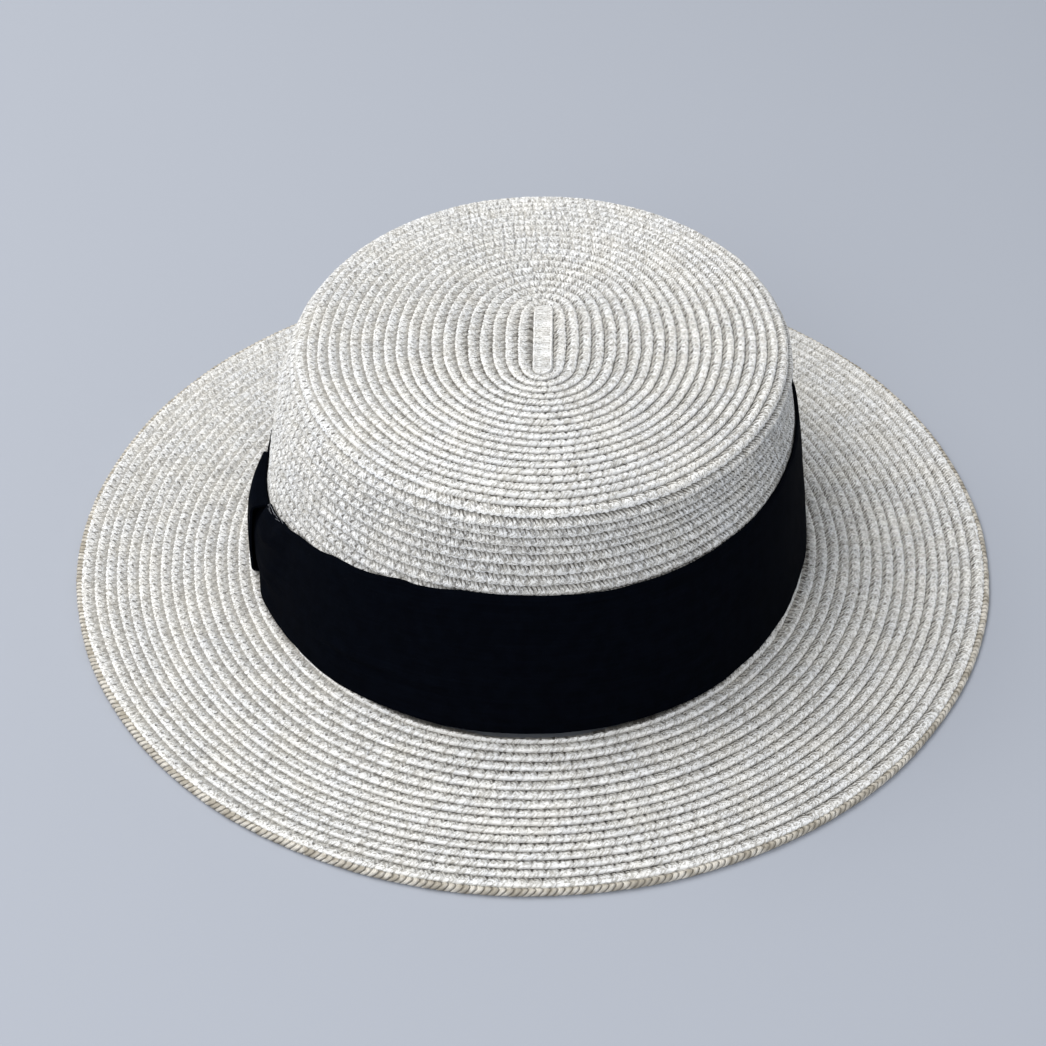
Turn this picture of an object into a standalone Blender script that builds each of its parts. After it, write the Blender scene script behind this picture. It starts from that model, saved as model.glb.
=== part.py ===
# Straw boater hat, lying on its brim.
# A flat oval tip and a slightly flared wall make the crown, which sits on a flat oval brim.
# A black cloth band goes round the wall, gathered on the left side inside a cloth keeper.
# Units are metres. +Z is up, the hat's long axis is Y, and the origin is under its middle.
import math

import bpy
import bmesh

# Crown, measured on the outside of the straw
BASE_HALF_WIDTH = 0.0846        # at the brim, from the middle to the side
BASE_HALF_LENGTH = 0.0994       # at the brim, from the middle to the front
TIP_HALF_WIDTH = 0.0749         # under the tip's corner
TIP_HALF_LENGTH = 0.0924
CROWN_HEIGHT = 0.0686           # from the brim to the tip
TIP_CORNER = 0.0050             # radius of the turn from tip to wall
TIP_SAG = 0.0008                # how far the middle of the tip lies lower
WALL_BELLY = 0.0010             # how far the wall bows out halfway up
CROWN_LEAN = 0.0010             # how far the tip stands to the right of the base
CROWN_STRAW = 0.0020            # thickness of the sewn braid in the crown

# Brim
BRIM_SIDE_WIDTH = 0.0579        # from the crown to the edge, at the sides
BRIM_END_WIDTH = 0.0611         # from the crown to the edge, at front and back
BRIM_RISE = 0.0013              # how far the brim climbs from its edge to the crown
BRIM_STRAW = 0.0018             # thickness of the sewn braid in the brim
RIM_THICKNESS = 0.0026          # the doubled edge
RIM_WIDTH = 0.0042

# Band and keeper
BAND_HEIGHT = 0.0463            # at its tallest, on the right side
BAND_CLOTH = 0.0012             # the cloth, folded double
BAND_SLACK = 0.0018             # how far the loosest stretch stands off the wall
FOLD_DEPTH = 0.0012             # the gathers beside the keeper
FOLD_COUNT = 3
KEEPER_ANGLE = 188.5            # degrees from +X, seen from above
KEEPER_WIDTH = 0.0290           # along the band
KEEPER_HEIGHT = 0.0240
KEEPER_DEPTH_TOP = 0.0064       # from the wall to its outer face
KEEPER_DEPTH_BOTTOM = 0.0038
KEEPER_CLOTH = 0.0008
KEEPER_CORNER = 0.0016          # radius of its rounded edges
GATHER_REACH = 0.0300           # how far along the wall the gathers run out
CLEARANCE = 0.0003              # between pieces that touch

# Resolution
SIDES = 80                      # round the hat
WALL_STEPS = 6                  # up the crown's wall
CORNER_STEPS = 4
BAND_STEPS = 9                  # up the band
KEEPER_STEPS = 6                # along the keeper

# Rings of the tip, from its middle to where the corner starts
TIP_SHARES = (0.30, 0.68)

# The brim's cross-section from the crown to the edge: share of the brim's width
BRIM_TOP_SHARES = (0.0, 0.12, 0.30, 0.55, 0.80)
BRIM_UNDER_SHARES = (0.70, 0.40, 0.12)
RIM_ROUNDING = 0.25             # share of the rim's thickness that its edge is rounded by

# The band all round: degrees from +X, share of the band's height, share of its slack
BAND_STATIONS = (
    # angle, height, slack
    (0.0, 1.00, 0.80),
    (30.0, 0.99, 0.40),
    (60.0, 0.97, 0.10),
    (90.0, 0.96, 0.05),
    (120.0, 0.93, 0.10),
    (140.0, 0.86, 0.20),
    (158.0, 0.72, 0.30),
    (172.0, 0.57, 0.30),
    (205.0, 0.60, 0.30),
    (217.0, 0.72, 0.25),
    (230.0, 0.82, 0.20),
    (241.0, 0.875, 0.10),
    (256.0, 0.94, 0.05),
    (270.0, 0.955, 0.00),
    (300.0, 0.955, 0.20),
    (330.0, 0.995, 0.80),
    (360.0, 1.00, 0.80),
)

SEAT = RIM_THICKNESS + BRIM_RISE            # top of the brim where the crown stands
BASE = SEAT + CLEARANCE                     # underside of the crown's wall


def clear_scene():
    for thing in list(bpy.data.objects):
        bpy.data.objects.remove(thing, do_unlink=True)


def make_material(name, color, roughness):
    material = bpy.data.materials.new(name)
    material.use_nodes = True
    shader = material.node_tree.nodes["Principled BSDF"]
    shader.inputs["Base Color"].default_value = (*color, 1.0)
    shader.inputs["Roughness"].default_value = roughness
    shader.inputs["Metallic"].default_value = 0.0
    return material


def smooth_step(x):
    x = min(max(x, 0.0), 1.0)
    return x * x * (3.0 - 2.0 * x)


def wall_size(height):
    """Half width, half length and lean of the wall's outside, at a height above the brim."""
    straight = CROWN_HEIGHT - TIP_CORNER
    down = min(max((straight - height) / straight, 0.0), 1.0)
    belly = WALL_BELLY * 4.0 * down * (1.0 - down)
    half_width = TIP_HALF_WIDTH + (BASE_HALF_WIDTH - TIP_HALF_WIDTH) * down + belly
    half_length = TIP_HALF_LENGTH + (BASE_HALF_LENGTH - TIP_HALF_LENGTH) * down + belly
    return half_width, half_length, CROWN_LEAN * (1.0 - down)


def oval_point(angle, half_width, half_length, z, shift=0.0):
    return (shift + half_width * math.cos(angle), half_length * math.sin(angle), z)


def oval_ring(half_width, half_length, z, shift=0.0):
    angles = [2.0 * math.pi * i / SIDES for i in range(SIDES)]
    return [oval_point(a, half_width, half_length, z, shift) for a in angles]


def wall_point(angle, out, height):
    """A point that stands out from the wall by a distance, at a height above the brim."""
    half_width, half_length, shift = wall_size(height)
    return oval_point(angle, half_width + out, half_length + out, SEAT + height, shift)


def loft(name, rings, material, closed):
    """Skins rings of equal count. A closed loft joins its last ring to its first; an open one
    gets a flat cap at each end."""
    shape = bmesh.new()
    rows = [[shape.verts.new(point) for point in ring] for ring in rings]
    count = len(rows[0])
    pairs = list(zip(rows, rows[1:]))
    if closed:
        pairs.append((rows[-1], rows[0]))
    else:
        shape.faces.new(rows[0])
        shape.faces.new(list(reversed(rows[-1])))
    for row, after in pairs:
        for i in range(count):
            j = (i + 1) % count
            shape.faces.new((row[j], row[i], after[i], after[j]))
    bmesh.ops.recalc_face_normals(shape, faces=shape.faces)
    mesh = bpy.data.meshes.new(name)
    shape.to_mesh(mesh)
    shape.free()
    mesh.materials.append(material)
    mesh.shade_smooth()
    mesh.set_sharp_from_angle(angle=math.radians(40.0))
    piece = bpy.data.objects.new(name, mesh)
    bpy.context.collection.objects.link(piece)
    return piece


def tip_rings(inset):
    """The tip from its middle outwards. The inset is 0 for the outside, and the straw's
    thickness for the inside."""
    top = SEAT + CROWN_HEIGHT - inset
    radius = TIP_CORNER - inset
    flat_width = TIP_HALF_WIDTH - TIP_CORNER
    flat_length = TIP_HALF_LENGTH - TIP_CORNER
    rings = []
    for share in TIP_SHARES:
        sag = TIP_SAG * (1.0 - share * share)
        rings.append(oval_ring(flat_width * share, flat_length * share, top - sag, CROWN_LEAN))
    for i in range(CORNER_STEPS + 1):
        turn = math.pi / 2.0 * i / CORNER_STEPS
        out = radius * math.sin(turn)
        z = top - radius + radius * math.cos(turn)
        rings.append(oval_ring(flat_width + out, flat_length + out, z, CROWN_LEAN))
    return rings


def wall_rings(inset):
    """The wall from the corner down to the brim, without the corner's own ring."""
    straight = CROWN_HEIGHT - TIP_CORNER
    rings = []
    for i in range(1, WALL_STEPS + 1):
        height = straight * (1.0 - i / WALL_STEPS)
        half_width, half_length, shift = wall_size(height)
        z = max(SEAT + height, BASE)
        rings.append(oval_ring(half_width - inset, half_length - inset, z, shift))
    return rings


def build_crown(straw):
    outside = tip_rings(0.0) + wall_rings(0.0)
    inside = tip_rings(CROWN_STRAW) + wall_rings(CROWN_STRAW)
    return loft("crown", outside + inside[::-1], straw, closed=False)


def brim_top(share):
    """Height of the brim's upper side, level at the edge and steepest at the crown."""
    return RIM_THICKNESS + BRIM_RISE * (1.0 - share) ** 2


def brim_section():
    """The brim's outline as (share of its width, distance inside the crown, height)."""
    rim_share = 1.0 - RIM_WIDTH / BRIM_SIDE_WIDTH
    rounding = RIM_ROUNDING * RIM_THICKNESS
    edge_share = 1.0 - rounding / BRIM_SIDE_WIDTH
    section = [(0.0, CROWN_STRAW, SEAT)]
    section += [(share, 0.0, brim_top(share)) for share in BRIM_TOP_SHARES]
    section += [
        (edge_share, 0.0, RIM_THICKNESS),
        (1.0, 0.0, RIM_THICKNESS - rounding),
        (1.0, 0.0, rounding),
        (edge_share, 0.0, 0.0),
        (rim_share, 0.0, 0.0),
        (rim_share, 0.0, brim_top(rim_share) - BRIM_STRAW),
    ]
    section += [(share, 0.0, brim_top(share) - BRIM_STRAW) for share in BRIM_UNDER_SHARES]
    section.append((0.0, CROWN_STRAW, SEAT - BRIM_STRAW))
    return section


def build_brim(straw):
    rings = []
    for share, inside, z in brim_section():
        half_width = BASE_HALF_WIDTH + BRIM_SIDE_WIDTH * share - inside
        half_length = BASE_HALF_LENGTH + BRIM_END_WIDTH * share - inside
        rings.append(oval_ring(half_width, half_length, z))
    return loft("brim", rings, straw, closed=True)


def band_station(degrees):
    """Height and slack of the band at an angle, as shares, eased between the table's rows."""
    for low, high in zip(BAND_STATIONS, BAND_STATIONS[1:]):
        if low[0] <= degrees <= high[0]:
            part = smooth_step((degrees - low[0]) / (high[0] - low[0]))
            return tuple(a + (b - a) * part for a, b in zip(low[1:], high[1:]))
    raise ValueError("angle outside the table of band stations")


def keeper_half_angle():
    return math.degrees(0.5 * KEEPER_WIDTH / BASE_HALF_LENGTH)


def keeper_depth(height):
    """How far the keeper's outer face stands from the wall at a height above the brim."""
    share = min(max(height / KEEPER_HEIGHT, 0.0), 1.0)
    return KEEPER_DEPTH_BOTTOM + (KEEPER_DEPTH_TOP - KEEPER_DEPTH_BOTTOM) * share


def gathering(degrees):
    """1 inside the keeper, falling to 0 where the gathers have run out."""
    away = abs(degrees - KEEPER_ANGLE) - keeper_half_angle()
    reach = math.degrees(GATHER_REACH / BASE_HALF_LENGTH)
    margin = math.degrees(4.0 * CLEARANCE / BASE_HALF_LENGTH)
    return 1.0 - smooth_step((away - margin) / reach)


def band_section(degrees):
    """The band's cross-section at an angle: up its inner side, then down its outer side."""
    height_share, slack_share = band_station(degrees)
    held = gathering(degrees)
    leg = KEEPER_CLOTH + CLEARANCE
    bottom = CLEARANCE + held * leg
    loose_top = BAND_HEIGHT * height_share
    top = loose_top + held * (KEEPER_HEIGHT - leg - loose_top)
    angle = math.radians(degrees)
    inner = []
    outer = []
    for i in range(BAND_STEPS + 1):
        share = i / BAND_STEPS
        height = bottom + (top - bottom) * share
        slack = BAND_SLACK * slack_share * (1.0 - share) * (1.0 - held)
        fold = 0.5 - 0.5 * math.cos(2.0 * math.pi * FOLD_COUNT * share)
        fold *= FOLD_DEPTH * 4.0 * held * (1.0 - held)
        loose_in = CLEARANCE + slack
        held_in = CLEARANCE + leg
        near = loose_in + (held_in - loose_in) * held
        held_out = keeper_depth(height) - leg
        far = loose_in + BAND_CLOTH
        far = far + (held_out - far) * held + fold
        inner.append(wall_point(angle, near, height))
        outer.append(wall_point(angle, far, height))
    return inner + outer[::-1]


def build_band(cloth):
    sections = [band_section(360.0 * i / SIDES) for i in range(SIDES)]
    return loft("hat_band", sections, cloth, closed=True)


def rounded_outline(corners, radius, steps):
    """A closed outline with its corners turned to arcs of one radius."""
    outline = []
    count = len(corners)
    for i, corner in enumerate(corners):
        before = corners[i - 1]
        after = corners[(i + 1) % count]
        for j in range(steps + 1):
            part = j / steps
            back = [corner[k] + (before[k] - corner[k]) * radius / math.dist(before, corner)
                    for k in range(2)]
            on = [corner[k] + (after[k] - corner[k]) * radius / math.dist(after, corner)
                  for k in range(2)]
            weights = ((1.0 - part) ** 2, 2.0 * part * (1.0 - part), part ** 2)
            outline.append(tuple(
                weights[0] * back[k] + weights[1] * corner[k] + weights[2] * on[k]
                for k in range(2)))
    return outline


def keeper_outline(inset, radius):
    """The keeper's loop as (distance from the wall, height), the inset being its cloth."""
    low = CLEARANCE + inset
    high = KEEPER_HEIGHT - inset
    near = CLEARANCE + inset
    corners = [
        (near, low),
        (keeper_depth(low) - inset, low),
        (keeper_depth(high) - inset, high),
        (near, high),
    ]
    return rounded_outline(corners, radius, 3)


def build_keeper(cloth):
    half = keeper_half_angle()
    outside = keeper_outline(0.0, KEEPER_CORNER)
    inside = keeper_outline(KEEPER_CLOTH, 2.0 * CLEARANCE)
    sections = []
    for outline, direction in ((outside, 1.0), (inside, -1.0)):
        for i in range(KEEPER_STEPS + 1):
            share = (2.0 * i / KEEPER_STEPS - 1.0) * direction
            angle = math.radians(KEEPER_ANGLE + half * share)
            sections.append([wall_point(angle, out, height) for out, height in outline])
    return loft("band_keeper", sections, cloth, closed=True)


def build_hat():
    clear_scene()
    straw = make_material("ivory_straw", (0.74, 0.72, 0.66), 0.75)
    cloth = make_material("black_cloth", (0.010, 0.011, 0.014), 0.85)
    build_crown(straw)
    build_brim(straw)
    build_band(cloth)
    build_keeper(cloth)


build_hat()
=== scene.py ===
import math
import random

import bpy
from mathutils import Matrix, Vector, noise


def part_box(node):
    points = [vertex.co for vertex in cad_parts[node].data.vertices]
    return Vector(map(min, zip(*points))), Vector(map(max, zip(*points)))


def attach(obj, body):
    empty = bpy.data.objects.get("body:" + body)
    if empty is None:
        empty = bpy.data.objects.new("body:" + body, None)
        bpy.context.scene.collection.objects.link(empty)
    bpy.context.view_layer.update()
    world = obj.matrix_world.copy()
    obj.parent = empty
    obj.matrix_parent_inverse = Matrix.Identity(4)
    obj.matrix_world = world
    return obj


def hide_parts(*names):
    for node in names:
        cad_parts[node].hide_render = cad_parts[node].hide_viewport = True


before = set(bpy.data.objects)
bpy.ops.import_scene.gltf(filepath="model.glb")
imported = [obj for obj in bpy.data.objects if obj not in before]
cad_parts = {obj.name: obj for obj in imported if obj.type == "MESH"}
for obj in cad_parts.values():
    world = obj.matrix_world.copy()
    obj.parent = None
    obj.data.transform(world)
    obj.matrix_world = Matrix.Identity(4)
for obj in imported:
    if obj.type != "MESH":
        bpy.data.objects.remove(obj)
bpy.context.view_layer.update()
mm = 0.001
crownLow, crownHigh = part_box("crown")
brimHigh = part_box("brim")[1]
print("frame loaded")


def clearSelection():
    for thing in bpy.context.selected_objects:
        thing.select_set(False)


def pick(thing):
    # the one object that the next operators work on
    clearSelection()
    thing.select_set(True)
    bpy.context.view_layer.objects.active = thing


def applyModifier(thing, kind, **settings):
    pick(thing)
    modifier = thing.modifiers.new(kind.title(), kind)
    for key, value in settings.items():
        setattr(modifier, key, value)
    bpy.ops.object.modifier_apply(modifier=modifier.name)


def mergeDoubles(thing, distance=0.01 * mm):
    pick(thing)
    bpy.ops.object.mode_set(mode="EDIT")
    bpy.ops.mesh.select_all(action="SELECT")
    bpy.ops.mesh.remove_doubles(threshold=distance)
    bpy.ops.mesh.normals_make_consistent(inside=False)
    bpy.ops.object.mode_set(mode="OBJECT")


def joinPieces(things, name):
    clearSelection()
    for thing in things:
        thing.select_set(True)
    bpy.context.view_layer.objects.active = things[0]
    bpy.ops.object.join()
    whole = bpy.context.view_layer.objects.active
    whole.name = name
    whole.data.name = name
    return whole


def ease(x):
    x = min(max(x, 0.0), 1.0)
    return x * x * (3 - 2 * x)


def turnFrom(angle, centre):
    # degrees between two directions round the hat
    return abs((angle - centre + 180) % 360 - 180)


seat = 3.9 * mm                     # top of the brim where the crown stands
rowSpacing = 20.0                   # between the rows' own bands of the braid's UV map

crownForm = {
    "stripHalfWidth": 3.3 * mm,     # the straight strip that the tip is sewn round
    "stripHalfLength": 21.8 * mm,
    "tipHalfWidth": 74.9 * mm,
    "tipHalfLength": 92.4 * mm,
    "baseHalfWidth": 84.6 * mm,
    "baseHalfLength": 99.4 * mm,
    "corner": 5.0 * mm,
    "sag": 0.8 * mm,
    "belly": 1.0 * mm,
    "lean": 1.0 * mm,
    "tipRows": 19,
    "tipPitchFade": 0.205,          # the rows get narrower towards the edge by this share
    "cornerRows": (3.7 * mm, 3.4 * mm),
    "wallPitch": 3.15 * mm,
    "hiddenRows": 8,                # lowest rows, which the band covers all round
    "tipRight": 2.0 * mm,           # the rows' centre lies to the right of the crown's
    "tipForward": 1.0 * mm,         # and to the front, by more towards the middle
    "middleForward": 1.9 * mm,
    "fade": (14 * mm, 12 * mm),     # below the top, where these shifts end, and over what height
    "drop": (0.5 * mm, 1.5 * mm),   # of the tip's edge all round, and more towards the front
    "swell": 2.3,                   # millimetres, of the tip in front
    "dip": 1.6,                     # behind the middle
    "rise": 0.9,                    # near the edge behind
    "top": crownHigh.z,
    "base": crownLow.z,
}

brimForm = {
    "sideWidth": brimHigh.x - crownForm["baseHalfWidth"],
    "endWidth": brimHigh.y - crownForm["baseHalfLength"],
    "rise": 1.3 * mm,
    "edgeTop": 2.6 * mm,
    "rows": 17,
    "firstEdge": 0.8 * mm,          # of the innermost row, from the crown
    "pitch": 3.41 * mm,
    "lastEdge": 56.0 * mm,
    "forward": 6.4 * mm,            # the rows round the crown lie nearer to the front
    "crownShare": 0.606,            # of the way from the middle to the brim's edge
    "waves": ((2, 0.45 * mm, 0.6), (3, 0.35 * mm, -1.0)),   # how many round, height and phase
}


def crownAt(along):
    # half width, half length, height and tilt of the straw's outside, by the distance
    # along it from the centre strip
    form = crownForm
    flat = form["tipHalfWidth"] - form["corner"] - form["stripHalfWidth"]
    arc = form["corner"] * math.pi / 2
    if along <= flat:
        share = along / flat
        halfLength = form["stripHalfLength"] + share * (
            form["tipHalfLength"] - form["corner"] - form["stripHalfLength"])
        drop = form["sag"] * (1 - share * abs(share))
        return form["stripHalfWidth"] + along, halfLength, form["top"] - drop, 0.0
    if along <= flat + arc:
        turn = (along - flat) / form["corner"]
        out = form["corner"] * (math.sin(turn) - 1)
        height = form["top"] - form["corner"] * (1 - math.cos(turn))
        return form["tipHalfWidth"] + out, form["tipHalfLength"] + out, height, turn
    wallHeight = form["top"] - form["corner"] - form["base"]
    down = (along - flat - arc) / wallHeight
    belly = form["belly"] * 4 * down * (1 - down)
    halfWidth = form["tipHalfWidth"] + (form["baseHalfWidth"] - form["tipHalfWidth"]) * down
    halfLength = form["tipHalfLength"] + (form["baseHalfLength"] - form["tipHalfLength"]) * down
    height = form["top"] - form["corner"] - wallHeight * down
    return halfWidth + belly, halfLength + belly, height, math.radians(83)


def brimAt(along):
    # the same for the brim, by the distance outwards from the crown
    share = along / brimForm["sideWidth"]
    halfWidth = crownForm["baseHalfWidth"] + along
    halfLength = crownForm["baseHalfLength"] + brimForm["endWidth"] * share
    height = brimForm["edgeTop"] + brimForm["rise"] * (1 - share) * abs(1 - share)
    return halfWidth, halfLength, height, 0.0


def rimAt(along):
    # the doubled edge stands on the ground under the last row
    halfWidth, halfLength, _, _ = brimAt(along)
    return halfWidth, halfLength, 0.0, 0.0


def leanAt(height):
    # the tip stands a little to the right of the base
    share = (height - crownForm["base"]) / (crownForm["top"] - crownForm["base"])
    return crownForm["lean"] * min(max(share, 0.0), 1.0)


def ovalPath(name, halfWidth, halfLength, straightness, waver, points=240):
    # a closed curve that a row of braid follows: straightness 1 is an oval, near 0 a racetrack
    curve = bpy.data.curves.new(name, "CURVE")
    curve.dimensions = "3D"
    curve.twist_mode = "Z_UP"
    curve.use_deform_bounds = False
    line = curve.splines.new("POLY")
    line.points.add(points - 1)
    line.use_cyclic_u = True
    for i in range(points):
        angle = math.pi / 2 + 2 * math.pi * i / points
        across = math.cos(angle)
        deep = math.sin(angle)
        stretched = deep / math.sqrt(straightness ** 2 + (1 - straightness ** 2) * deep ** 2)
        out = sum(size * math.sin(waves * angle + phase) for size, waves, phase in waver)
        x = (halfWidth + out) * across
        y = (halfWidth + out) * deep + (halfLength - halfWidth) * stretched
        line.points[i].co = (x, y, 0.0, 1.0)
    path = bpy.data.objects.new(name, curve)
    bpy.context.scene.collection.objects.link(path)
    return path


def pathLength(path):
    points = [Vector(p.co[:3]) for p in path.data.splines[0].points]
    return sum((a - b).length for a, b in zip(points, points[1:] + points[:1]))


# A plait's cross-section goes from the outer edge inwards over the top and back underneath.
# Each line has the distance from the edge, the height over the hat's surface, how deep the
# gaps between strands go, how deep the loop's hole goes and how far the gaps cut the edge.
# A column is where along the repeat it stands, how low it lies and how it slants inwards.
braid = {
    "repeat": 3.7 * mm,             # one loop of the plait, two strands wide
    "pitch": 3.5,                   # of the rows that the cross-section is drawn for
    "columns": ((0.0, 1.0, 0.45), (0.42, 0.4, 0.25), (1.10, 0.0, -0.15),
                (1.85, 0.55, -0.35), (2.17, 0.2, -0.15), (2.95, 0.0, 0.25)),
    "section": (
        (0.20, -0.95, 0.00, 0.00, 0.00),
        (-0.12, -0.15, 0.00, 0.00, 0.52),
        (0.34, 0.29, 0.20, 0.00, 0.32),
        (0.78, 0.25, 0.08, 0.00, 0.00),
        (1.20, 0.30, 0.06, 0.20, 0.00),
        (1.66, 0.16, 0.06, 0.80, 0.00),
        (2.25, -0.10, 0.45, 0.15, 0.00),
        (3.10, -0.50, 0.90, 0.00, 0.00),
        (5.40, -1.60, 0.00, 0.00, 0.00),
    ),
}

# the same with few faces, for the rows wholly behind the band
hiddenBraid = {
    "repeat": 3.7 * mm,
    "pitch": 3.5,
    "columns": ((0.0, 1.0, 0.0), (0.7, 0.0, 0.0), (1.85, 0.8, 0.0), (2.55, 0.0, 0.0)),
    "section": (
        (0.20, -0.95, 0.00, 0.00, 0.00),
        (-0.10, 0.00, 0.00, 0.00, 0.20),
        (0.50, 0.30, 0.05, 0.00, 0.00),
        (2.40, 0.00, 0.20, 0.00, 0.00),
        (3.40, -0.60, 0.50, 0.00, 0.00),
        (5.40, -1.60, 0.00, 0.00, 0.00),
    ),
}

centreStrip = {
    "repeat": 3.7 * mm,
    "pitch": 3.5,
    "columns": braid["columns"],
    "section": (
        (0.10, -0.60, 0.00, 0.00, 0.00),
        (-0.05, -0.10, 0.00, 0.00, 0.15),
        (0.40, 0.42, 0.06, 0.00, 0.05),
        (1.10, 0.30, 0.06, 0.00, 0.00),
        (2.00, 0.28, 0.04, 0.00, 0.00),
        (3.00, 0.30, 0.04, 0.00, 0.00),
        (3.95, 0.28, 0.05, 0.25, 0.00),
        (4.80, 0.30, 0.08, 0.05, 0.00),
        (5.50, 0.40, 0.06, 0.00, -0.05),
        (5.95, -0.10, 0.00, 0.00, -0.15),
        (5.80, -0.60, 0.00, 0.00, 0.00),
    ),
    # which part of the braid's look each line of the section has
    "looks": (-0.3, 0.0, 0.4, 0.85, 1.0, 0.9, 1.6, 1.05, 0.4, 0.0, -0.3),
}

# the loops of the doubled edge, seen from the side
rim = {
    "repeat": 1.9 * mm,
    "pitch": 3.5,
    "slant": 0.85,
    "columns": ((0.0, 1.0, 0.0), (0.30, 0.3, 0.0), (0.90, 0.0, 0.0), (1.50, 0.2, 0.0)),
    "section": (
        (0.90, 0.02, 0.00, 0.00, 0.00),
        (0.22, 0.30, 0.00, 0.00, 0.15),
        (-0.05, 0.90, 0.00, 0.00, 0.32),
        (0.00, 1.50, 0.08, 0.00, 0.36),
        (0.35, 2.02, 0.22, 0.00, 0.22),
        (1.00, 2.25, 0.25, 0.00, 0.00),
        (2.70, 1.50, 0.00, 0.00, 0.00),
        (3.00, 0.15, 0.00, 0.00, 0.00),
    ),
}


def makeSleeve(name, plan):
    # one repeat of a plait as an open sleeve: a grid rolled round its cross-section
    section = plan["section"]
    columns = plan["columns"]
    stations = len(section)
    repeat = plan["repeat"] / mm
    bpy.ops.mesh.primitive_grid_add(x_subdivisions=len(columns), y_subdivisions=stations, size=1)
    sleeve = bpy.context.active_object
    sleeve.name = name
    under = section[0][0] + 2 * section[-1][0]
    marks = []
    for vertex in sleeve.data.vertices:
        column = round((vertex.co.x + 0.5) * len(columns))
        station = round((vertex.co.y + 0.5) * stations)
        inward, height, gap, hole, notch = section[station % stations]
        stand, low, lean = columns[column % len(columns)]
        stand += repeat * (column // len(columns))
        stand += lean * min(max((inward - 1.4) / 2, 0.0), 1.0)
        slant = plan.get("slant", 0.0) * height
        height -= gap * low + (hole if column % len(columns) == 0 else 0.0)
        inward += notch * low
        vertex.co = ((stand + slant) * mm, inward * mm, height * mm)
        across = section[station][0] if 0 < station < stations else (-0.6 if station == 0 else under)
        if "looks" in plan:
            across = plan["looks"][station % stations]
        marks.append((stand / repeat, across))
    uv = sleeve.data.uv_layers.active.data
    for loop in sleeve.data.loops:
        uv[loop.index].uv = marks[loop.vertex_index]
    mergeDoubles(sleeve)
    return sleeve


def layRow(sleeve, plan, along, pitch, surfaceAt, straightness, number):
    # one closed row of braid, its outer edge at a distance along the hat's surface
    chance = random.Random(number)
    halfWidth, halfLength, _, _ = surfaceAt(along)
    waver = [(chance.uniform(0.03, 0.08) * mm, waves, chance.uniform(0, 6.3))
             for waves in (5, 9, 14, 23)]
    path = ovalPath("rowPath", halfWidth, halfLength, straightness, waver)
    length = pathLength(path)
    count = round(length / plan["repeat"])
    stretch = length / count / plan["repeat"]
    narrow = pitch / mm / plan["pitch"]
    row = sleeve.copy()
    row.data = sleeve.data.copy()
    bpy.context.scene.collection.objects.link(row)
    start = chance.uniform(0, plan["repeat"])
    for vertex in row.data.vertices:
        x, inward, over = vertex.co
        wide, deep, height, tilt = surfaceAt(along - inward * narrow)
        away = (halfWidth - wide + halfLength - deep) / 2
        vertex.co = (x * stretch + start, away - over * math.sin(tilt), height + over * math.cos(tilt))
    for mark in row.data.uv_layers.active.data:
        mark.uv.y += rowSpacing * number
    applyModifier(row, "ARRAY", count=count, use_relative_offset=False, use_constant_offset=True,
                  constant_offset_displace=(length / count, 0, 0), use_merge_vertices=True,
                  merge_threshold=0.01 * mm, offset_u=1.0)
    applyModifier(row, "CURVE", object=path, deform_axis="POS_X")
    bpy.data.objects.remove(path)
    return row


def finishBraid(rows, name, seed):
    # joins rows into one piece and gives the strands their small unevenness
    whole = joinPieces(rows, name)
    mergeDoubles(whole)
    drift = Vector((seed * 0.37, seed * 0.11, 0))
    for vertex in whole.data.vertices:
        place = vertex.co
        vertex.co = place + noise.noise_vector(place / (1.5 * mm) + drift) * 0.14 * mm
    pick(whole)
    bpy.ops.object.shade_smooth_by_angle(angle=math.radians(50))
    return whole


def shapeCrown(thing):
    # lean of the crown, the rows' centre beside the crown's, the softer drop of the tip's
    # edge towards the front and the left, and the tip's swell in front and dip behind
    form = crownForm
    for vertex in thing.data.vertices:
        x, y, z = vertex.co
        share = math.hypot(x / form["tipHalfWidth"], y / form["tipHalfLength"])
        angle = math.degrees(math.atan2(y, x)) % 360
        drop = form["drop"][0] + form["drop"][1] * ease(1 - turnFrom(angle, 265) / 110)
        fall = max(0.0, (share - 0.80) / 0.20)
        fade = min(max((z - form["top"] + form["fade"][0]) / form["fade"][1], 0.0), 1.0)
        inner = min(share, 1.0)
        swell = form["swell"] * math.sin(math.pi * inner) ** 1.5 * ease(1 - turnFrom(angle, 258) / 95)
        behind = ease(1 - turnFrom(angle, 100) / 80)
        swell -= form["dip"] * math.sin(math.pi * min(inner / 0.6, 1.0)) ** 2 * behind
        swell += form["rise"] * math.sin(math.pi * max(inner - 0.55, 0.0) / 0.45) ** 2 * behind
        forward = form["tipForward"] + form["middleForward"] * (1 - inner)
        vertex.co = (x + leanAt(z) + form["tipRight"] * fade, y - forward * fade,
                     z - drop * min(fall, 1.2) ** 2 * fade + swell * mm * fade)


def shapeBrim(thing):
    # the brim's gentle waves, and its rows' shift to the front
    form = brimForm
    for vertex in thing.data.vertices:
        x, y, z = vertex.co
        share = math.hypot(x / brimHigh.x, y / brimHigh.y)
        angle = math.atan2(y, x)
        swell = sum(size * math.sin(count * angle + phase) for count, size, phase in form["waves"])
        vertex.co.z = z + swell * ease((share - 0.65) / 0.35) * min(z / (2 * mm), 1.0)
        along = (share - form["crownShare"]) / (1 - form["crownShare"]) * form["sideWidth"]
        forward = 1 - 0.75 * min(max((along - 26 * mm) / (32 * mm), 0.0), 1.0)
        forward *= 0.3 + 0.7 * ease((along + 2 * mm) / (3 * mm))
        forward *= 1 - 0.75 * ease((math.sin(angle) - 0.3) / 0.6)
        vertex.co.y = y - form["forward"] * forward


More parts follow.
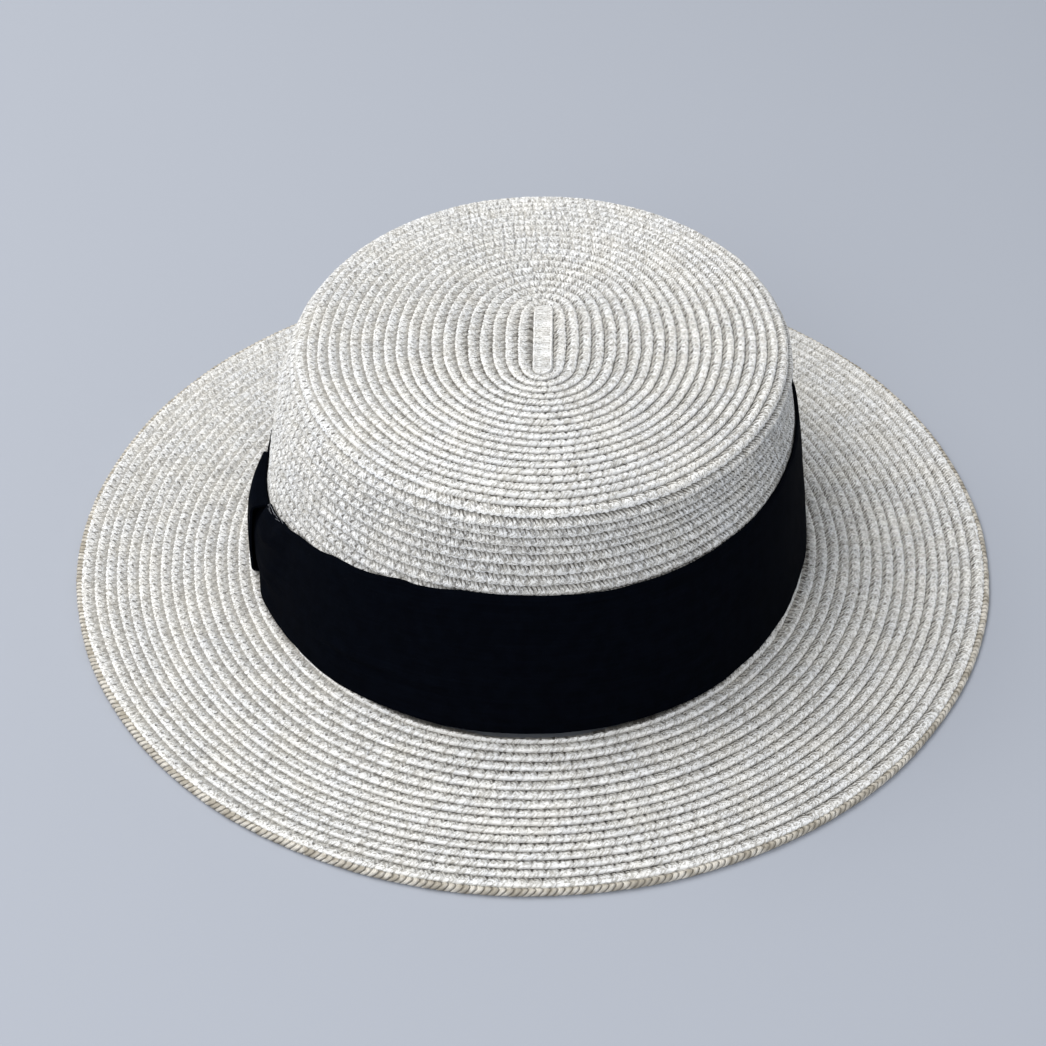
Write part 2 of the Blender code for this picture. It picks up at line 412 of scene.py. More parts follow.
def layCentreStrip():
    # the straight piece of braid that the first row is sewn round
    form = crownForm
    sleeve = makeSleeve("centreStrip", centreStrip)
    long = 2 * form["stripHalfLength"]
    count = round(long / centreStrip["repeat"])
    for mark in sleeve.data.uv_layers.active.data:
        mark.uv.y += rowSpacing * 90
    applyModifier(sleeve, "ARRAY", count=count, use_relative_offset=False, use_constant_offset=True,
                  constant_offset_displace=(centreStrip["repeat"], 0, 0), use_merge_vertices=True,
                  merge_threshold=0.01 * mm, offset_u=1.0)
    bpy.ops.object.mode_set(mode="EDIT")
    bpy.ops.mesh.select_all(action="SELECT")
    bpy.ops.mesh.region_to_loop()
    bpy.ops.mesh.fill()
    bpy.ops.object.mode_set(mode="OBJECT")
    middle = 2.95 * mm
    straight = form["stripHalfLength"] - middle
    base = form["top"] - form["sag"]
    for vertex in sleeve.data.vertices:
        x, y, z = vertex.co
        along = x * long / (count * centreStrip["repeat"]) - form["stripHalfLength"]
        past = min(max(0.0, (abs(along) - straight) / middle), 0.97)
        taper = math.sqrt(1 - past * past)
        vertex.co = (0.3 * mm + (middle - y) * taper, along, base + z - 0.5 * mm * past * past)
    return sleeve


def buildCrown(sleeve, hiddenSleeve):
    form = crownForm
    flat = form["tipHalfWidth"] - form["corner"] - form["stripHalfWidth"]
    rows = form["tipRows"]
    fadeShare = form["tipPitchFade"]
    edges = []
    for i in range(1, rows + 1):
        edges.append(flat * (i * (1 + fadeShare / 2) - fadeShare / 2 * i * i / rows) / rows)
    edges.append(edges[-1] + form["cornerRows"][0])
    edges.append(edges[-1] + form["cornerRows"][1])
    wallEnd = flat + form["corner"] * math.pi / 2 + form["top"] - form["corner"] - form["base"]
    while edges[-1] + form["wallPitch"] < wallEnd:
        edges.append(edges[-1] + form["wallPitch"])
    made = [layCentreStrip()]
    hidden = len(edges) - form["hiddenRows"]
    for i, along in enumerate(edges):
        straightness = min(1.0, 0.42 + 0.58 * i / rows)
        pitch = along - (edges[i - 1] if i else 0.0)
        plan, part = (braid, sleeve) if i < hidden else (hiddenBraid, hiddenSleeve)
        made.append(layRow(part, plan, along, pitch, crownAt, straightness, i))
    parts = {
        "tip_braid": made[:rows + 1],
        "wall_braid_upper": made[rows + 1:rows + 11],
        "wall_braid_lower": made[rows + 11:],
    }
    pieces = []
    for i, (name, group) in enumerate(parts.items()):
        piece = finishBraid(group, name, i)
        shapeCrown(piece)
        pieces.append(piece)
    print("crown braid sewn:", len(edges), "rows")
    return pieces


def buildBrim(sleeve, rimSleeve):
    form = brimForm
    rows = form["rows"]
    edges = [form["firstEdge"] + form["pitch"] * i for i in range(rows - 1)] + [form["lastEdge"]]
    made = []
    for i, along in enumerate(edges):
        pitch = along - edges[i - 1] if i else form["pitch"] / 2
        made.append(layRow(sleeve, braid, along, pitch, brimAt, 1.0, 51 + i))
    made.append(layRow(rimSleeve, rim, form["sideWidth"] - 0.1 * mm, 3.5 * mm, rimAt, 1.0, 95))
    parts = {
        "brim_braid_inner": made[:7],
        "brim_braid_middle": made[7:12],
        "brim_braid_outer": made[12:rows],
        "brim_rim": made[rows:],
    }
    pieces = []
    for i, (name, group) in enumerate(parts.items()):
        piece = finishBraid(group, name, 10 + i)
        shapeBrim(piece)
        pieces.append(piece)
    print("brim braid sewn:", rows, "rows")
    return pieces


# the band all round: degrees from +X, share of its height, millimetres that its bottom stands off
band = {
    "stations": (
        (0.0, 1.00, 0.00), (30.0, 0.99, 0.00), (60.0, 0.97, 0.20), (90.0, 0.96, 0.30),
        (120.0, 0.93, 0.40), (135.0, 0.88, 0.50), (144.0, 0.82, 0.55), (151.0, 0.75, 0.60),
        (158.0, 0.67, 0.60), (165.0, 0.59, 0.70), (172.0, 0.52, 0.80), (178.0, 0.51, 1.20),
        (196.0, 0.60, 2.00), (203.0, 0.635, 2.80), (210.0, 0.695, 3.00), (217.0, 0.745, 3.15),
        (231.0, 0.828, 3.30), (245.0, 0.903, 3.35), (259.0, 0.950, 3.20), (270.0, 0.955, 3.05),
        (287.0, 0.940, 2.90), (301.0, 0.944, 2.60), (308.0, 0.946, 2.25), (315.0, 0.948, 1.45),
        (329.0, 0.958, 0.65), (343.0, 0.980, 0.05), (360.0, 1.00, 0.00)),
    "height": 46.3 * mm,
    "outside": 1.5 * mm,            # from the wall to the cloth's outer side
    "cloth": 0.8 * mm,
    "steps": (420, 34),             # round the crown and up the band
    "crease": (222.0, 264.0, 0.295),    # from, to, and share of the height
    "creaseDepth": 1.0 * mm,
    "foldDepth": 1.3 * mm,
    "gatherReach": 30 * mm,
    "lowEdge": 0.35 * mm,           # over the brim
    "keeperLift": 1.2 * mm,         # more inside the keeper
    "keeperReach": 4.5 * mm,        # where the band takes the keeper's height
    "keeperGap": 1.3 * mm,          # from its outer side to the keeper's
    "pressed": 1.4 * mm,            # from the wall to its outer side along its gathered edges
    "least": 1.25 * mm,
    "slowWave": 0.55 * mm,
    "smallWave": 0.14 * mm,
    "flat": (46.3 * mm, 600 * mm),
}

keeper = {
    "angle": 188.5,
    "width": 29 * mm,
    "height": 25 * mm,
    "depthTop": 6.5 * mm,
    "depthBottom": 4.7 * mm,
    "depthBack": 2.45 * mm,         # at the end away from the photo's viewer
    "fullAt": 0.44,                 # where the depth is whole, from -1 at that end to 1
    "belly": 0.45 * mm,
    "dent": 0.35 * mm,
    "flare": 0.35 * mm,
    "cloth": 0.8 * mm,
    "near": 0.45 * mm,
    "corner": 2.05 * mm,
    "steps": (22, 44),
    "flat": (29 * mm, 58 * mm),
}


def wallPoint(degrees, out, height):
    # a point that stands out from the crown's wall, at a height above the brim
    form = crownForm
    straight = form["top"] - form["corner"] - seat
    down = min(max((straight - height) / straight, 0.0), 1.0)
    belly = form["belly"] * 4 * down * (1 - down)
    halfWidth = form["tipHalfWidth"] + (form["baseHalfWidth"] - form["tipHalfWidth"]) * down
    halfLength = form["tipHalfLength"] + (form["baseHalfLength"] - form["tipHalfLength"]) * down
    angle = math.radians(degrees)
    x = form["lean"] * (1 - down) + (halfWidth + belly + out) * math.cos(angle)
    return x, (halfLength + belly + out) * math.sin(angle), seat + height


def bandStation(degrees):
    stations = band["stations"]
    for (a, tall, loose), (b, tallNext, looseNext) in zip(stations, stations[1:]):
        if a <= degrees <= b:
            share = ease((degrees - a) / (b - a))
            return tall + (tallNext - tall) * share, loose + (looseNext - loose) * share
    return stations[0][1:]


def keeperDepth(height):
    share = min(max(height / keeper["height"], 0.0), 1.0)
    return keeper["depthBottom"] + (keeper["depthTop"] - keeper["depthBottom"]) * share


def keeperOut(along, height):
    # the loop is thinner towards its back end, which is at -1
    rise = min(max(along + 1, 0.0) / (1 + keeper["fullAt"]), 1.0) ** 0.9
    belly = keeper["belly"] * math.sin(math.pi * min(max(height / keeper["height"], 0.0), 1.0))
    return keeper["depthBack"] + (keeperDepth(height) + belly - keeper["depthBack"]) * rise


def gathering(degrees, distance):
    # 1 inside the keeper, falling to 0 at a distance from it
    halfTurn = math.degrees(keeper["width"] / 2 / crownForm["baseHalfLength"])
    reach = math.degrees(distance / crownForm["baseHalfLength"])
    return 1 - ease((abs(degrees - keeper["angle"]) - halfTurn) / reach)


def bandPoint(degrees, share):
    # a point on the band's outer side, by the angle and the share of its height
    tall, loose = bandStation(degrees)
    held = gathering(degrees, band["gatherReach"])
    inside = gathering(degrees, band["keeperReach"])
    bottom = band["lowEdge"] + inside * band["keeperLift"]
    top = band["height"] * tall
    top += inside * (keeper["height"] - keeper["cloth"] - top)
    roll = ease((share - 0.965) / 0.035) ** 2
    height = bottom + (top - bottom) * min(share, 0.985)
    turn = math.radians(degrees)
    ring = Vector((math.cos(turn) * 3, math.sin(turn) * 3, 0))
    out = band["outside"] + loose * mm * (1 - share)
    pillow = max(0.0, 1 - abs((share - 0.45) / 0.55) ** 4)
    along = math.radians(degrees - keeper["angle"]) * crownForm["baseHalfLength"] * 2 / keeper["width"]
    full = keeperOut(along, height) - band["keeperGap"]
    out += (band["pressed"] + (full - band["pressed"]) * pillow - out) * held
    # gathers fan out from the keeper
    fan = 4 * held * (1 - held)
    away = 1 - held
    fold = math.sin(2 * math.pi * (3.2 * share * (1 - 0.35 * away) + 0.15)
                    + 1.3 * noise.noise(ring * 1.7 + Vector((0, 0, share * 3))))
    out += band["foldDepth"] * fan * (0.45 + 0.40 * fold)
    out += 0.9 * mm * fan * noise.noise(Vector((degrees * 0.05, share * 9, 4.0)))
    # one long soft crease low on the front, left side
    start, end, level = band["crease"]
    along = ease((degrees - start) / 12) * (1 - ease((degrees - end + 20) / 20))
    off = (share - level - 0.012 * math.sin((degrees - start) / 9)) * (top - bottom) / mm
    out += band["creaseDepth"] * along * (math.exp(-(off / 1.2) ** 2)
                                          - 0.45 * math.exp(-((off + 2.3) / 1.3) ** 2))
    # slow waves of cloth that isn't glued down
    out += band["slowWave"] * (1 - held) * noise.noise(ring * 1.1 + Vector((0, 0, share * 1.4)))
    out += band["smallWave"] * noise.noise(ring * 6 + Vector((0, 0, share * 5)))
    height += 0.25 * mm * share * noise.noise(ring * 4 + Vector((9, 0, 0)))
    return wallPoint(degrees, max(out - 0.45 * mm * roll, band["least"]), height)


def buildBand():
    around, up = band["steps"]
    bpy.ops.mesh.primitive_grid_add(x_subdivisions=around, y_subdivisions=up, size=1)
    cloth = bpy.context.active_object
    cloth.name = cloth.data.name = "cotton_band"
    for vertex in cloth.data.vertices:
        vertex.co = bandPoint((vertex.co.x + 0.5) * 360, vertex.co.y + 0.5)
    for mark in cloth.data.uv_layers.active.data:
        mark.uv = (mark.uv.x * band["flat"][1] / mm, mark.uv.y * band["flat"][0] / mm)
    mergeDoubles(cloth)
    applyModifier(cloth, "SOLIDIFY", thickness=band["cloth"], offset=-1.0)
    pick(cloth)
    bpy.ops.object.shade_smooth_by_angle(angle=math.radians(60))
    print("band wrapped")
    return cloth


def buildKeeper():
    # a loop of the same cloth, open at both ends, round the gathered band
    around, steps = keeper["steps"]
    bpy.ops.mesh.primitive_grid_add(x_subdivisions=around, y_subdivisions=steps, size=1)
    cloth = bpy.context.active_object
    cloth.name = cloth.data.name = "cotton_keeper"
    low, high = 0.4 * mm, keeper["height"]
    near = keeper["near"]
    corners = [(near, low), (keeperDepth(low), low), (keeperDepth(high), high), (near, high)]
    outline = []
    for i, corner in enumerate(corners):
        place = Vector(corner)
        before = (Vector(corners[i - 1]) - place).normalized() * keeper["corner"]
        after = (Vector(corners[(i + 1) % 4]) - place).normalized() * keeper["corner"]
        for j in range(5):
            part = j / 4
            outline.append(place + before * (1 - part) ** 2 + after * part ** 2)
        straight = Vector(corners[(i + 1) % 4]) - place - after * 2
        for j in range(1, 7):
            outline.append(place + after + straight * j / 7)
    halfTurn = math.degrees(keeper["width"] / 2 / crownForm["baseHalfLength"])
    for vertex in cloth.data.vertices:
        along = vertex.co.x * 2
        spot = round((vertex.co.y + 0.5) * steps) % steps
        out, height = outline[spot]
        degrees = keeper["angle"] + halfTurn * along
        depth = (keeperOut(along, height) - near) / (keeperDepth(height) - near)
        dent = keeper["dent"] * noise.noise(Vector((along * 1.3, height / (7 * mm), out / (4 * mm))))
        flare = keeper["flare"] * abs(along) ** 6
        lift = 1.0 if out > 1.5 * mm else 0.0
        out = near + (out - near) * depth + lift * (dent + flare)
        height += lift * 0.25 * mm * noise.noise(Vector((along * 2, 3.0, 0)))
        degrees += 0.35 * noise.noise(Vector((along * 9, height / (6 * mm), 5.0))) * abs(along)
        vertex.co = wallPoint(degrees, out, height)
    for mark in cloth.data.uv_layers.active.data:
        mark.uv = (mark.uv.x * keeper["flat"][0] / mm, mark.uv.y * keeper["flat"][1] / mm)
    mergeDoubles(cloth)
    applyModifier(cloth, "SOLIDIFY", thickness=keeper["cloth"], offset=-1.0)
    applyModifier(cloth, "BEVEL", width=0.18 * mm, segments=2, limit_method="ANGLE",
                  angle_limit=math.radians(55))
    pick(cloth)
    bpy.ops.object.shade_smooth_by_angle(angle=math.radians(60))
    print("keeper looped")
    return cloth


# loose pale fibres on the band's upper edge by the keeper
frays = {
    "thickness": 0.06 * mm,
    "degree": 1.65,                 # millimetres along the band there
    "bandHeight": 26,               # millimetres, the band's there
    # degrees, share of the band's height, length along the band, length up, curl
    "fibres": (
        (198.5, 0.975, 6.0, 0.3, 0.07), (199.5, 0.990, 7.5, 0.1, -0.06),
        (200.5, 0.960, 4.5, 0.5, 0.08), (202.5, 0.985, 5.5, 0.3, -0.08),
        (204.5, 0.965, 4.5, 0.4, 0.06), (206.5, 0.985, 4.0, 0.2, -0.05),
    ),
}


def buildFrays():
    fibres = []
    for i, (degrees, share, long, rise, curl) in enumerate(frays["fibres"]):
        curve = bpy.data.curves.new("fibre", "CURVE")
        curve.dimensions = "3D"
        curve.bevel_depth = frays["thickness"]
        curve.bevel_resolution = 1
        line = curve.splines.new("POLY")
        line.points.add(8)
        for j, point in enumerate(line.points):
            part = j / 8
            turn = degrees + part * long / frays["degree"]
            level = share + (part * rise + curl * math.sin(part * 5 + i)) / frays["bandHeight"]
            x, y, z = bandPoint(turn, min(level, 0.995))
            off = (0.12 + 0.5 * part * part) * mm
            x += math.cos(math.radians(turn)) * off
            y += math.sin(math.radians(turn)) * off
            point.co = (x, y, z + max(level - 0.985, 0) * 24 * mm, 1)
        fibre = bpy.data.objects.new("fibre", curve)
        bpy.context.scene.collection.objects.link(fibre)
        pick(fibre)
        bpy.ops.object.convert(target="MESH")
        fibres.append(bpy.context.active_object)
    whole = joinPieces(fibres, "band_frays")
    bpy.ops.object.shade_smooth_by_angle(angle=math.radians(60))
    return whole


class Wire:
    # a value on its way through a material: sums on it add Math nodes
    def __init__(self, tree, socket):
        self.tree = tree
        self.socket = socket

    def node(self, kind, settings, inputs, output=0):
        made = self.tree.nodes.new(kind)
        for key, value in settings.items():
            setattr(made, key, value)
        for key, value in inputs.items():
            if isinstance(value, Wire):
                self.tree.links.new(value.socket, made.inputs[key])
            else:
                made.inputs[key].default_value = value
        return Wire(self.tree, made.outputs[output])

    def sum(self, operation, *values):
        return self.node("ShaderNodeMath", {"operation": operation}, dict(enumerate(values)))

    def __add__(self, other):
        return self.sum("ADD", self, other)

    def __sub__(self, other):
        return self.sum("SUBTRACT", self, other)

    def __mul__(self, other):
        return self.sum("MULTIPLY", self, other)

    def __rsub__(self, other):
        return self.sum("SUBTRACT", other, self)

    __radd__ = __add__
    __rmul__ = __mul__

    def into(self, socket):
        self.tree.links.new(self.socket, socket)

    def part(self, index):
        # one of a vector's three values
        return self.node("ShaderNodeSeparateXYZ", {}, {0: self}, index)

    def fraction(self):
        return self.sum("FRACT", self)

    def floor(self):
        return self.sum("FLOOR", self)

    def sign(self):
        return self.sum("SIGN", self)

    def squared(self):
        return self.sum("POWER", self.size(), 2.0)

    def smaller(self, other):
        return self.sum("MINIMUM", self, other)

    def larger(self, other):
        return self.sum("MAXIMUM", self, other)

    def size(self):
        return self.sum("ABSOLUTE", self)

    def clamped(self):
        return self.node("ShaderNodeClamp", {}, {0: self})

    def wave(self):
        # a sine from -1 to 1
        return self.sum("SINE", self)

    def rising(self, low, high):
        # 0 below low, 1 above high
        settings = {"interpolation_type": "SMOOTHSTEP"}
        return self.node("ShaderNodeMapRange", settings, {0: self, 1: low, 2: high, 3: 0.0, 4: 1.0})

    def falling(self, low, high):
        return 1 - self.rising(low, high)

    def speckle(self, scale, detail=2.0):
        inputs = {"Vector": self, "Scale": scale, "Detail": detail, "Roughness": 0.6}
        return self.node("ShaderNodeTexNoise", {}, inputs)

    def blend(self, first, second):
        # a colour between two, self being the share of the second
        return self.node("ShaderNodeMix", {"data_type": "RGBA"}, {0: self, 6: first, 7: second}, 2)


def newMaterial(name):
    material = bpy.data.materials.new(name)
    material.use_nodes = True
    tree = material.node_tree
    return material, tree.nodes["Principled BSDF"], Wire(tree, None)


strawLook = {
    "ivory": (0.935, 0.922, 0.88, 1),
    "cool": (0.885, 0.892, 0.89, 1),
    # a tan for marks between strands and for painted shade
    "marksAndShade": (0.33, 0.305, 0.255, 1),
    # near black for painted shade in the gaps and holes
    "deep": (0.06, 0.05, 0.037, 1),
    "loop": braid["repeat"] / mm,
    "underside": 10.95,             # where the cross-section has come back underneath
    "roughness": 0.65,
}


def strawMaterial():
    look = strawLook
    material, shader, start = newMaterial("ivoryBraid")
    place = start.node("ShaderNodeTexCoord", {}, {}, 3)
    uv = start.node("ShaderNodeUVMap", {}, {})
    u = uv.part(0)
    raw = uv.part(1)
    row = ((raw + 1.0) * (1 / rowSpacing)).floor()
    v = raw - row * rowSpacing
    v = v.smaller(look["underside"] - v)
    drift = place.speckle(320.0, 1.0)
    patch = place.speckle(90.0, 2.0)
    fine = place.speckle(2300.0, 1.0)
    grain = place.speckle(1300.0, 1.0)
    u = u + (drift - 0.5) * 0.12
    v = v + (place.speckle(520.0, 1.0) - 0.5) * 0.5
    # every strand has its own tone
    half = (u * 2.0 + 0.25).floor()
    strandSpot = start.node("ShaderNodeCombineXYZ", {}, {0: half, 1: row})
    chance = start.node("ShaderNodeTexWhiteNoise", {"noise_dimensions": "2D"}, {"Vector": strandSpot})
    # slanted gaps towards the inner edge, where the next row lies on this one, painted dark as the shade in
    # them
    slant = ((v - 1.4) * 0.5).clamped()
    third = u * 3.0 + slant * 1.1 + 0.5
    markSpot = start.node("ShaderNodeCombineXYZ", {}, {0: third.floor(), 1: row + 0.5})
    strength = start.node("ShaderNodeTexWhiteNoise", {"noise_dimensions": "2D"}, {"Vector": markSpot})
    comb = ((third.fraction() - 0.5).size() - (v - 1.7) * 0.16).falling(0.0, 0.12)
    # the painted shade in them is weaker on the hat's left and behind, where the light fills them
    keyLitSide = place.part(0).falling(-60 * mm, 0.0)
    back = place.part(1).rising(0.0, 90 * mm)
    gaps = comb * v.rising(1.7, 2.1) * (0.45 + strength * 0.55) * (1.0 - keyLitSide * 0.5)
    # the loop's hole in the middle of the row, painted dark as shade, more on the hat's left which the
    # light faces
    beside = ((u + 0.5).fraction() - 0.5) * look["loop"]
    holeSpot = beside.squared() + (v - 1.5).squared()
    holeShade = holeSpot.falling(0.08, 0.34) * (0.35 + patch.rising(0.35, 0.6) * 0.3 + keyLitSide * 0.35)
    # short dark marks between strands that cross like a herringbone: painted shade in the slits where they
    # part
    side = (u.fraction() - 0.5).sign()
    across = u * look["loop"] + side * v * 0.55
    strokeSpot = start.node("ShaderNodeCombineXYZ", {}, {0: across * 1.9, 1: v * 0.75, 2: row * 3.7})
    strokes = strokeSpot.speckle(1.0, 1.0)
    cordSpot = start.node("ShaderNodeCombineXYZ", {}, {0: (u * look["loop"] - v * 0.8) * 1.7, 1: row * 3.1})
    cord = cordSpot.speckle(1.0, 1.0)
    middle = v.rising(0.5, 0.8) * v.falling(2.5, 3.0)
    strokeShade = strokes.rising(0.50, 0.62) * middle
    cordDark = cord.rising(0.52, 0.64) * v.falling(0.45, 0.7)
    # painted shade in the small groove just inside the edge cord
    behindCordShade = (v - 0.75).size().falling(0.05, 0.22) * fine.rising(0.42, 0.58)
    # painted shade of the gaps and holes, less behind where the light falls
    paintedGapShade = gaps.larger(holeShade * 0.8) * (1.0 - back * 0.55)
    tone = patch.rising(0.25, 0.75).blend(look["ivory"], look["cool"])
    tone = (chance * chance * 0.18).blend(tone, look["marksAndShade"])
    # painted shade on the row's inner part, under the next row's overhanging edge
    tone = (v.rising(2.1, 2.9) * 0.55).blend(tone, look["marksAndShade"])
    tone = (strokeShade * 0.60).blend(tone, look["marksAndShade"])
    tone = (cordDark * 0.60).blend(tone, look["marksAndShade"])
    tone = (behindCordShade * 0.25).blend(tone, look["marksAndShade"])
    specks = fine.rising(0.50, 0.60) * grain.rising(0.42, 0.56)
    specks = specks * v.rising(0.05, 0.35) * v.falling(2.5, 3.0)
    tone = (specks * 0.70).blend(tone, look["marksAndShade"])
    # gaps and holes darkened towards near black as painted shade
    tone = (paintedGapShade * 0.92).blend(tone, look["deep"])
    height = 1.0 - paintedGapShade - strokeShade * 0.6 - cordDark * 0.4 - behindCordShade * 0.3 + fine * 0.5
    tone.into(shader.inputs["Base Color"])
    bump = start.node("ShaderNodeBump", {}, {"Strength": 0.9, "Distance": 0.32 * mm, "Height": height})
    bump.into(shader.inputs["Normal"])
    shader.inputs["Roughness"].default_value = look["roughness"]
    return material


rimLook = {
    "tan": (0.40, 0.36, 0.29, 1),
    "pale": (0.74, 0.70, 0.62, 1),
    "deep": (0.06, 0.05, 0.036, 1),
}


def rimMaterial():
    # the edge's loops show their sides, which are tan, with shadow between them
    look = rimLook
    material, shader, start = newMaterial("tanEdge")
    place = start.node("ShaderNodeTexCoord", {}, {}, 3)
    uv = start.node("ShaderNodeUVMap", {}, {})
    u = uv.part(0)
    fine = place.speckle(1700.0, 2.0)
    slow = place.speckle(300.0, 1.0)
    across = ((u + (slow - 0.5) * 0.6 + (fine - 0.5) * 0.25 + 0.5).fraction() - 0.5).size()
    between = across.falling(0.04, 0.20)
    strand = (u * 18.85 + fine * 2.0).wave().rising(0.2, 1.0)
    tone = slow.rising(0.35, 0.65).blend(look["tan"], look["pale"])
    tone = (strand * 0.35).blend(tone, look["tan"])
    tone = (fine.rising(0.5, 0.7) * 0.4).blend(tone, look["tan"])
    tone = (between * 0.60).blend(tone, look["deep"])
    tone.into(shader.inputs["Base Color"])
    height = 1.0 - between - strand * 0.3 + fine * 0.3
    bump = start.node("ShaderNodeBump", {}, {"Strength": 0.8, "Distance": 0.3 * mm, "Height": height})
    bump.into(shader.inputs["Normal"])
    shader.inputs["Roughness"].default_value = 0.7
    return material


cottonLook = {
    "black": (0.0006, 0.0008, 0.0015, 1),
    "navy": (0.0022, 0.0032, 0.0062, 1),
    "lint": (0.06, 0.06, 0.07, 1),
    "yarn": 0.52,                   # millimetres between yarns
    "roughness": 0.86,
}


def cottonMaterial():
    look = cottonLook
    material, shader, start = newMaterial("blackCotton")
    place = start.node("ShaderNodeTexCoord", {}, {}, 3)
    uv = start.node("ShaderNodeUVMap", {}, {})
    u = uv.part(0)
    v = uv.part(1)
    slub = place.speckle(260.0, 3.0)
    fine = place.speckle(2600.0, 2.0)
    turn = 2 * math.pi / look["yarn"]
    warp = (u * turn + slub * 2.5).wave()
    weft = (v * turn + slub * 2.5).wave()
    weave = (warp * weft + 1.0) * 0.5
    streak = start.node("ShaderNodeCombineXYZ", {}, {0: u * 0.035, 1: v * 1.4}).speckle(1.0, 3.0)
    tone = (weave * 0.55 + slub.rising(0.3, 0.7) * 0.3 + streak.rising(0.35, 0.7) * 0.25)
    color = tone.clamped().blend(look["black"], look["navy"])
    cell = start.node("ShaderNodeTexVoronoi", {}, {"Vector": place, "Scale": 75.0})
    cellColor = start.node("ShaderNodeTexVoronoi", {}, {"Vector": place, "Scale": 75.0}, 1)
    rare = start.node("ShaderNodeSeparateColor", {}, {0: cellColor}, 0)
    lint = cell.falling(0.012, 0.030) * rare.rising(0.90, 0.92)
    color = (lint * 0.8).blend(color, look["lint"])
    color.into(shader.inputs["Base Color"])
    rough = look["roughness"] + (weave - 0.5) * 0.10
    rough.into(shader.inputs["Roughness"])
    height = weave * 0.7 + fine * 0.3 + slub * 0.4
    bump = start.node("ShaderNodeBump", {}, {"Strength": 0.55, "Distance": 0.12 * mm, "Height": height})
    bump.into(shader.inputs["Normal"])
    shader.inputs["Specular IOR Level"].default_value = 0.012
    shader.inputs["Sheen Weight"].default_value = 0.0018
    shader.inputs["Sheen Roughness"].default_value = 0.45
    shader.inputs["Sheen Tint"].default_value = (0.75, 0.85, 1.0, 1)
    return material


frayLook = {
    "dim": (0.06, 0.065, 0.08, 1),
    "pale": (0.30, 0.31, 0.33, 1),
}


def frayMaterial():
    look = frayLook
    material, shader, start = newMaterial("paleFibre")
    place = start.node("ShaderNodeTexCoord", {}, {}, 3)
    tone = place.speckle(900.0, 2.0).rising(0.35, 0.65).blend(look["dim"], look["pale"])
    tone.into(shader.inputs["Base Color"])
    shader.inputs["Roughness"].default_value = 0.6
    return material


view = {
    "aim": Vector((2.6 * mm, -1.0 * mm, 72.5 * mm)),    # middle of the tip's centre strip
    "aimPixel": (540.9, 332.6),
    "pictureSize": 1046,
    "focalPixels": 2100,
    "azimuth": 0.5,
    "elevation": 30.67,
    "distance": 629.65 * mm,
    "sensor": 36.0,
}


def placeCamera():
    azimuth = math.radians(view["azimuth"])
    elevation = math.radians(view["elevation"])
    back = Vector((math.sin(azimuth) * math.cos(elevation),
                   -math.cos(azimuth) * math.cos(elevation), math.sin(elevation)))
    right = Vector((math.cos(azimuth), math.sin(azimuth), 0))
    up = back.cross(right)
    # the aim isn't in the middle of the picture, so the camera turns a little away from it
    half = view["pictureSize"] / 2
    px, py = view["aimPixel"]
    toAim = Vector(((px - half) / view["focalPixels"], (half - py) / view["focalPixels"], -1))
    turn = Vector((0, 0, -1)).rotation_difference(toAim).to_matrix()
    axes = Matrix((right, up, back)).transposed() @ turn.transposed()
    bpy.ops.object.camera_add(location=view["aim"] + back * view["distance"])
    camera = bpy.context.active_object
    camera.rotation_euler = axes.to_euler()
    camera.data.sensor_width = view["sensor"]
    camera.data.lens = view["sensor"] * view["focalPixels"] / view["pictureSize"]
    camera.data.clip_start = 0.01
    bpy.context.scene.camera = camera


room = {
    "floorSize": 6,
    "floor": (0.38, 0.405, 0.455, 1),
    "air": (0.90, 0.94, 1.0, 1),
    "airStrength": 0.50,
    # each light's name, place, size, power and colour
    "lights": (
        ("keyLight", (-0.90, 0.45, 1.55), 1.5, 27.5, (1.0, 0.985, 0.97)),
        ("frontFill", (-0.4, -1.3, 1.1), 1.2, 13.5, (0.98, 0.98, 1.0)),
    ),
}


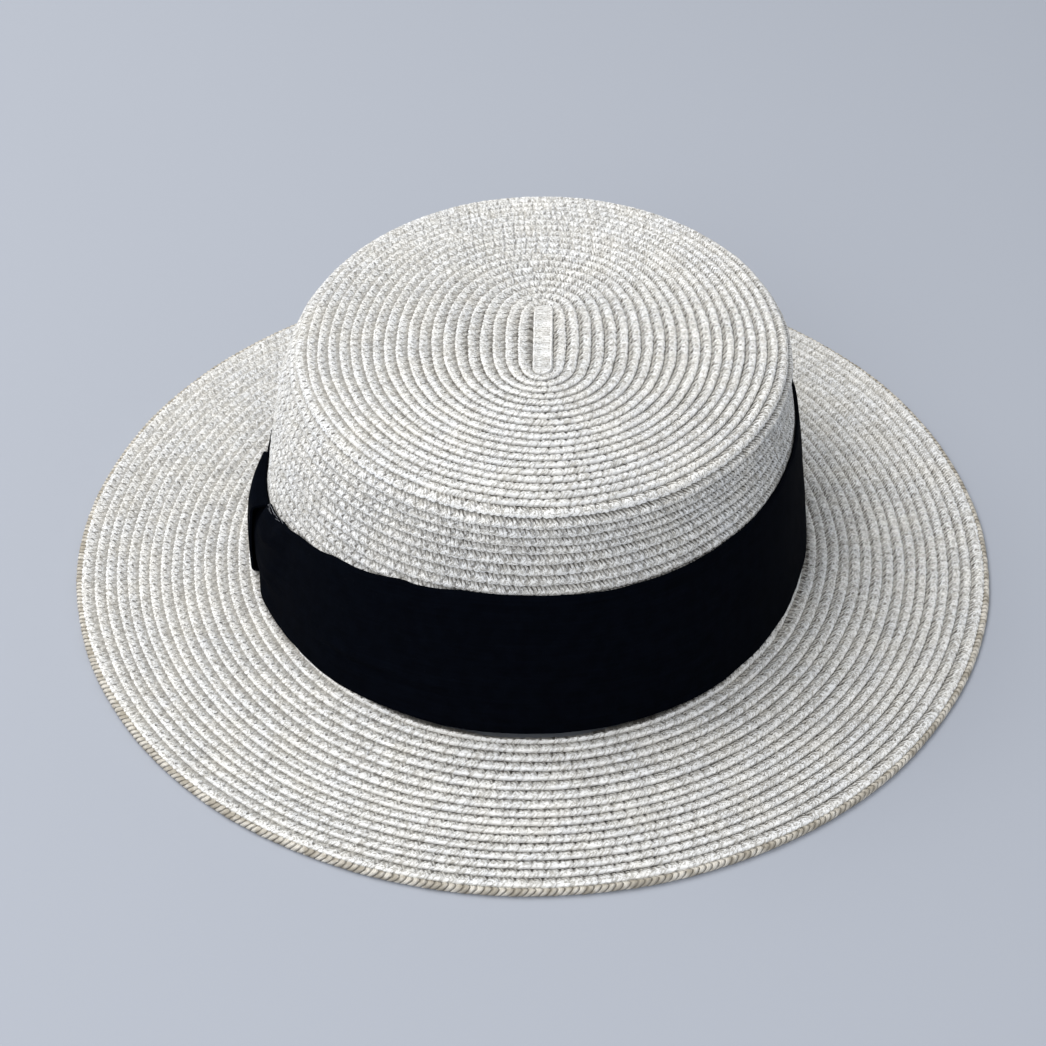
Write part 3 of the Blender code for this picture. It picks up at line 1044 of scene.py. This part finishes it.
def placeFloor():
    bpy.ops.mesh.primitive_plane_add(size=room["floorSize"])
    floor = bpy.context.active_object
    floor.name = "floor"
    material = bpy.data.materials.new("paleFloor")
    material.use_nodes = True
    shader = material.node_tree.nodes["Principled BSDF"]
    shader.inputs["Base Color"].default_value = room["floor"]
    shader.inputs["Roughness"].default_value = 0.8
    floor.data.materials.append(material)


def areaLight(name, place, size, power, color):
    bpy.ops.object.light_add(type="AREA", location=place)
    light = bpy.context.active_object
    light.name = name
    light.data.size = size
    light.data.energy = power
    light.data.color = color
    light.rotation_euler = (-Vector(place)).to_track_quat("-Z", "Y").to_euler()


def placeLights():
    # the plain picture tones keep the straw's whites as light as they are
    bpy.context.scene.view_settings.view_transform = "Standard"
    world = bpy.data.worlds.new("softRoom")
    bpy.context.scene.world = world
    world.use_nodes = True
    background = world.node_tree.nodes["Background"]
    background.inputs["Color"].default_value = room["air"]
    background.inputs["Strength"].default_value = room["airStrength"]
    for light in room["lights"]:
        areaLight(*light)


def finishPiece(piece, material):
    piece.data.materials.clear()
    piece.data.materials.append(material)
    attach(piece, "root")
    triangles = sum(len(face.vertices) - 2 for face in piece.data.polygons)
    print(piece.name, triangles, "triangles")
    return triangles


placeCamera()
placeFloor()
placeLights()
clearSelection()
braidSleeve = makeSleeve("braidSleeve", braid)
hiddenSleeve = makeSleeve("hiddenSleeve", hiddenBraid)
rimSleeve = makeSleeve("rimSleeve", rim)
straw = strawMaterial()
edgeStraw = rimMaterial()
cotton = cottonMaterial()
crownPieces = buildCrown(braidSleeve, hiddenSleeve)
brimPieces = buildBrim(braidSleeve, rimSleeve)
for sleeve in (braidSleeve, hiddenSleeve, rimSleeve):
    bpy.data.objects.remove(sleeve)
bandPiece = buildBand()
keeperPiece = buildKeeper()
frayPiece = buildFrays()

total = 0
for piece in crownPieces + brimPieces:
    total += finishPiece(piece, edgeStraw if piece.name == "brim_rim" else straw)
for piece in (bandPiece, keeperPiece):
    total += finishPiece(piece, cotton)
total += finishPiece(frayPiece, frayMaterial())
print("in all", total, "triangles")
for piece in crownPieces:
    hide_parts("crown")
for piece in brimPieces:
    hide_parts("brim")
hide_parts("hat_band")
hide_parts("band_keeper")
